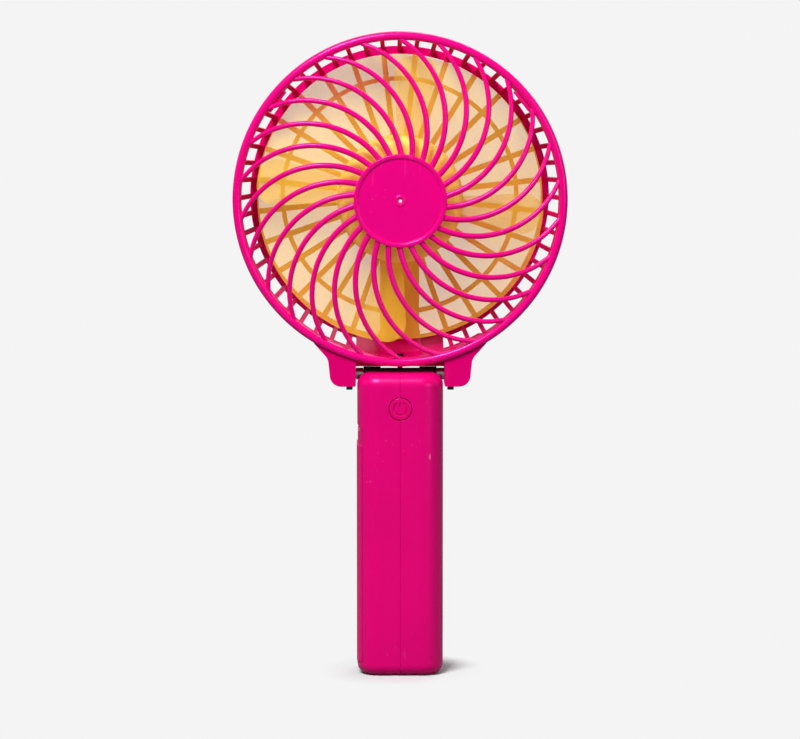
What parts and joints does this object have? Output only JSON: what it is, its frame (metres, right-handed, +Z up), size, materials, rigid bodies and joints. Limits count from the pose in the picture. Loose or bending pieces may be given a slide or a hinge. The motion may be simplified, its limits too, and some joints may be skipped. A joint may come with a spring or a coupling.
{
  "type": "folding battery hand fan",
  "caption": "Folding battery hand fan: round guard with spiral ribs and a translucent fan wheel, on a hinged upright box handle with a power button and a battery cover.",
  "frame": {"origin": "middle of the flat base of the handle", "axes": "+Z up along the handle to the guard, -Y the way the air blows and the side of the button, +X right"},
  "size_m": [0.1064, 0.0331, 0.2055],
  "materials": {
    "guard_pink": "satin",
    "handle_pink": "satin",
    "wheel_yellow": "translucent",
    "black_plastic": "matte",
    "bright_steel": "bright",
    "screw_steel": "plated",
    "magnet_grey": "sintered",
    "iron_core": "laminated",
    "brass_parts": "bright",
    "lead_black": "matte",
    "board_green": "matte",
    "cell_wrap": "wrapped"
  },
  "bodies": {
    "handle": {"handle_left_shell": "handle_pink", "handle_right_shell": "handle_pink", "friction_discs": "black_plastic", "hinge_block": "black_plastic", "hinge_spacers": "bright_steel", "hinge_pins": "bright_steel", "shell_screws": "screw_steel", "handle_lead": "lead_black", "circuit_board": "board_green", "board_chips": "black_plastic", "switch_body": "black_plastic", "usb_socket": "bright_steel", "battery_cell": "cell_wrap", "battery_contact": "bright_steel", "battery_spring": "bright_steel", "battery_wires": "lead_black"},
    "head": {"front_guard": "guard_pink", "rear_guard": "guard_pink", "motor_cover": "guard_pink", "cover_screws": "screw_steel", "motor_can": "bright_steel", "motor_magnets": "magnet_grey", "motor_bushes": "brass_parts", "motor_end_cap": "black_plastic", "motor_terminals": "brass_parts", "motor_lead": "lead_black", "hinge_caps": "guard_pink"},
    "rotor": {"fan_rotor": "wheel_yellow", "motor_shaft": "bright_steel", "motor_armature": "iron_core"},
    "button": {"power_button": "handle_pink", "switch_plunger": "black_plastic"},
    "door": {"battery_door": "handle_pink"}
  },
  "joints": [
    {"name": "head_fold", "type": "hinge", "parent": "handle", "child": "head", "pos_m": [0, 0, 0.0962], "axis": [-1, 0, 0], "range_deg": [0, 90]},
    {"name": "rotor_spin", "type": "hinge", "parent": "head", "child": "rotor", "pos_m": [0, 0, 0.1523], "axis": [0, 1, 0], "continuous": true},
    {"name": "button_press", "type": "slide", "parent": "handle", "child": "button", "axis": [0, 1, 0], "range_m": [0, 0.0005], "stiffness_N_per_m": 600},
    {"name": "door_open", "type": "hinge", "parent": "handle", "child": "door", "pos_m": [-0.0139, 0, 0.0043], "axis": [0, -1, 0], "range_deg": [0, 80]}
  ]
}
